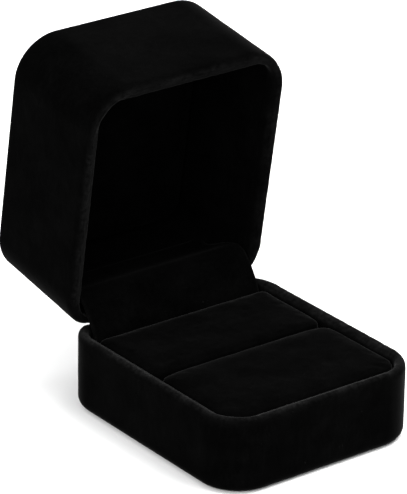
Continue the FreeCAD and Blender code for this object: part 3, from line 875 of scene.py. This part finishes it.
def velvet(name, dark, light, sheen, nap_size, rim_highlight_gain):
    """Short-pile velvet: fine pile grain, patches where the nap lies another way, stray lint, and a
    lighter colour along folded rims and marked edges, partly pile that stands open and partly a painted
    highlight for the light they catch. sheen is its weight and roughness, nap_size is in millimetres, and
    the last argument is how many times lighter the open pile and painted highlight are."""
    shader = Shader(name)
    nap = shader.noise(nap_size * MM, 3.0, 0.55, (1, 1, 1.6))
    streaks = shader.noise(STREAK, 2.0, 0.6, (1, 1, 0.35))
    pile = shader.noise(PILE, 1.0, 0.5)
    brushed = shader.mix("MIX", shader.ramp(nap, (0.34, 0.0), (0.66, 1.0)), dark, light)
    grained = shader.mix("MULTIPLY", 0.4, brushed, shader.ramp(streaks, (0.3, 0.45), (0.7, 1.35)))
    tipped = shader.mix("MULTIPLY", 0.6, grained, shader.ramp(pile, (0.3, 0.35), (0.72, 1.6)))
    # Painted highlight: the marked rims and edges are mixed towards a lighter tone, partly open pile and
    # partly a highlight painted in for the light they catch
    pile_and_highlight = shader.add("ShaderNodeAttribute", attribute_name="pile_and_highlight").outputs["Fac"]
    tuft_noise = shader.noise(TUFT, 3.0, 0.7)
    tufts = shader.ramp(tuft_noise, (0.36, 0.25), (0.66, 1.0))
    worn = shader.ramp(shader.noise(WORN_PATCH, 2.0, 0.5), (0.36, 0.4), (0.64, 1.0))
    pile_and_highlight_mask = shader.mix("MULTIPLY", 1.0, shader.mix("MULTIPLY", 1.0, pile_and_highlight, tufts), worn)
    rim_highlight_tone = tuple(rim_highlight_gain * part for part in light)
    rim_highlighted = shader.mix("MIX", pile_and_highlight_mask, tipped, rim_highlight_tone)
    lint = shader.ramp(shader.noise(LINT, 1.0, 0.4), (0.745, 0.0), (0.775, 1.0))
    sparse = shader.ramp(shader.noise(LINT_PATCH, 1.0, 0.4), (0.55, 0.0), (0.66, 0.5))
    specks = shader.mix("MULTIPLY", 1.0, lint, sparse)
    shader.colour(shader.mix("MIX", specks, rim_highlighted, tuple(LINT_LIGHT * part for part in light)))
    shader.set(Roughness=0.95, Specular_IOR_Level=0.0)
    shader.set(Sheen_Weight=sheen[0], Sheen_Roughness=sheen[1], Sheen_Tint=(1, 1, 1, 1))
    soft = shader.bump(nap, 0.25 * MM, 0.35)
    ruffled = shader.bump(tuft_noise, 0.15 * MM, 1.0, soft)
    shader.link(pile_and_highlight, ruffled.node.inputs["Strength"])
    shader.link(shader.bump(pile, 0.06 * MM, 0.55, ruffled), shader.bsdf.inputs["Normal"])
    return shader.material


def card(name, tone, fibre_tone):
    """Pressed card with short fibres."""
    shader = Shader(name)
    fibres = shader.noise(0.5 * MM, 4.0, 0.65, (1, 0.3, 1))
    cloud = shader.noise(4 * MM, 2.0, 0.5)
    mottled = shader.mix("MIX", shader.ramp(cloud, (0.35, 0.0), (0.65, 1.0)), tone, fibre_tone)
    shader.colour(shader.mix("MULTIPLY", 0.5, mottled, shader.ramp(fibres, (0.3, 0.6), (0.7, 1.15))))
    shader.set(Roughness=0.85, Specular_IOR_Level=0.25)
    shader.link(shader.bump(fibres, 0.05 * MM, 0.4), shader.bsdf.inputs["Normal"])
    return shader.material


def plastic(name):
    """Moulded black plastic with a fine matt grain."""
    shader = Shader(name)
    grain = shader.noise(0.3 * MM, 2.0, 0.5)
    cloud = shader.noise(9 * MM, 2.0, 0.5)
    shader.colour(shader.mix("MIX", cloud, (0.012, 0.012, 0.013), (0.020, 0.020, 0.021)))
    shader.link(shader.ramp(grain, (0.3, 0.42), (0.7, 0.58)), shader.bsdf.inputs["Roughness"])
    shader.link(shader.bump(grain, 0.02 * MM, 0.4), shader.bsdf.inputs["Normal"])
    return shader.material


def steel(name, tone, rough):
    """Rolled sheet steel with fine scratches along X."""
    shader = Shader(name)
    scratches = shader.noise(0.08 * MM, 3.0, 0.6, (0.05, 1, 1))
    stain = shader.noise(2.5 * MM, 3.0, 0.6)
    darker = tuple(part * 0.55 for part in tone)
    shader.colour(shader.mix("MIX", shader.ramp(stain, (0.3, 0.0), (0.7, 1.0)), darker, tone))
    shader.link(shader.ramp(scratches, (0.3, rough), (0.7, rough + 0.2)), shader.bsdf.inputs["Roughness"])
    shader.set(Metallic=1.0)
    shader.link(shader.bump(scratches, 0.01 * MM, 0.3), shader.bsdf.inputs["Normal"])
    return shader.material


def paint(material, *things):
    """Give objects or CAD nodes a material."""
    for thing in things:
        piece = frame["nodes"][thing] if isinstance(thing, str) else thing
        slots = piece.data.materials
        slots.clear()
        slots.append(material)


# Stage ---------------------------------------------------------------------------------------

CAMERA_AZIMUTH = math.radians(-37.441)
CAMERA_ELEVATION = math.radians(24.14)
CAMERA_ROLL = math.radians(0.846)
CAMERA_PLACE = Vector((-0.41975, -0.53515, 0.34314))
CAMERA_LENS = 268.3
CAMERA_SENSOR = 36
CAMERA_CLIP = 0.01


def make_camera():
    """Long lens at the front left, a little above."""
    azimuth, elevation = CAMERA_AZIMUTH, CAMERA_ELEVATION
    backward = Vector((
        math.sin(azimuth) * math.cos(elevation),
        -math.cos(azimuth) * math.cos(elevation),
        math.sin(elevation),
    ))
    level = Vector((0, 0, 1)).cross(backward).normalized()
    upright = backward.cross(level)
    right = level * math.cos(CAMERA_ROLL) + upright * math.sin(CAMERA_ROLL)
    up = upright * math.cos(CAMERA_ROLL) - level * math.sin(CAMERA_ROLL)
    data = bpy.data.cameras.new("camera")
    data.lens = CAMERA_LENS
    data.sensor_width = CAMERA_SENSOR
    data.clip_start = CAMERA_CLIP
    camera = bpy.data.objects.new("camera", data)
    bpy.context.scene.collection.objects.link(camera)
    turn = Matrix((right, up, backward)).transposed().to_4x4()
    camera.matrix_world = Matrix.Translation(CAMERA_PLACE) @ turn
    bpy.context.scene.camera = camera


def area_light(name, place, target, size, power):
    """A square soft white light that faces a point."""
    data = bpy.data.lights.new(name, "AREA")
    data.shape = "SQUARE"
    data.size = size
    data.energy = power
    lamp = bpy.data.objects.new(name, data)
    bpy.context.scene.collection.objects.link(lamp)
    lamp.location = place
    lamp.rotation_euler = (Vector(target) - Vector(place)).to_track_quat("-Z", "Y").to_euler()


def make_sky():
    """White surroundings, brighter overhead than at the horizon."""
    world = bpy.data.worlds.new("studio")
    bpy.context.scene.world = world
    world.use_nodes = True
    nodes, links = world.node_tree.nodes, world.node_tree.links
    place = nodes.new("ShaderNodeTexCoord").outputs["Generated"]
    parts = nodes.new("ShaderNodeSeparateXYZ")
    ramp = nodes.new("ShaderNodeValToRGB")
    low, high = ramp.color_ramp.elements
    low.position, low.color = 0.0, (0.45, 0.45, 0.45, 1)
    high.position, high.color = 0.8, (1, 1, 1, 1)
    links.new(place, parts.inputs[0])
    links.new(parts.outputs["Z"], ramp.inputs["Fac"])
    links.new(ramp.outputs["Color"], nodes["Background"].inputs["Color"])
    nodes["Background"].inputs["Strength"].default_value = 1.0


FLOOR_HALF = 3
FLOOR_DROP = 0.00005


def make_stage():
    """White floor, white surroundings and three soft lights."""
    corners = [(x * FLOOR_HALF, y * FLOOR_HALF, 0) for x, y in ((-1, -1), (1, -1), (1, 1), (-1, 1))]
    floor = new_object("floor", corners, [(0, 1, 2, 3)], rounded=False)
    floor.location.z = -FLOOR_DROP
    shader = Shader("floor_white")
    shader.colour(shader.ramp(shader.noise(0.05, 2.0), (0.3, 0.90), (0.7, 0.93)))
    shader.set(Roughness=0.9, Specular_IOR_Level=0.1)
    paint(shader.material, floor)
    make_sky()
    area_light("key", (0.18, -0.2, 0.62), (0, 0.01, 0.03), 0.4, 4.4)
    area_light("side", (-0.5, -0.3, 0.35), (0, 0, 0.02), 0.4, 3.0)
    area_light("back", (0.35, 0.5, 0.45), (0, 0.03, 0.03), 0.3, 3.4)
    bpy.context.scene.view_settings.view_transform = "Standard"


# Assembly ------------------------------------------------------------------------------------

make_camera()
make_stage()

base_velvet = make_base_velvet()
lid_velvet = make_lid_velvet()
band_lining = make_side_lining()
front_pad, rear_pad = make_pads()
top_lining = make_top_lining()
strip = make_hinge_strip()

# Each velvet has its sheen's weight and roughness, the size of its nap's patches in millimetres, and how
# much lighter its open pile and painted rim highlight are
BLACK = (0.0007, 0.0007, 0.0007)
BRUSHED = (0.0013, 0.0013, 0.0013)
paint(velvet("base_velvet_look", BLACK, BRUSHED, (0.058, 0.3), 9, 8), base_velvet)
paint(velvet("lid_velvet_look", BLACK, BRUSHED, (0.037, 0.3), 11, 4), lid_velvet)
paint(velvet("pad_velvet_look", BLACK, BRUSHED, (0.036, 0.3), 7, 12), front_pad, rear_pad)
paint(velvet("lining_velvet_look", BLACK, BRUSHED, (0.004, 0.45), 8, 4), band_lining, top_lining, strip)
paint(card("black_card", (0.010, 0.010, 0.010), (0.018, 0.018, 0.018)), "base_bottom_sheet")
paint(card("grey_board", (0.10, 0.09, 0.075), (0.15, 0.135, 0.11)), "insert_board", "lid_top_board")
paint(plastic("moulded_plastic"), "base_shell", "lid_shell")
# Painted shade: the hinge's steel tone is darkened for the shade it sits in at the back of the box
paint(steel("painted_shade_dark_steel", (0.10, 0.10, 0.105), 0.42),
      "hinge_base_leaf", "hinge_lid_leaf", "hinge_pin", "hinge_base_rivets", "hinge_lid_rivets")
paint(steel("blue_steel", (0.22, 0.25, 0.32), 0.22), "hinge_spring")
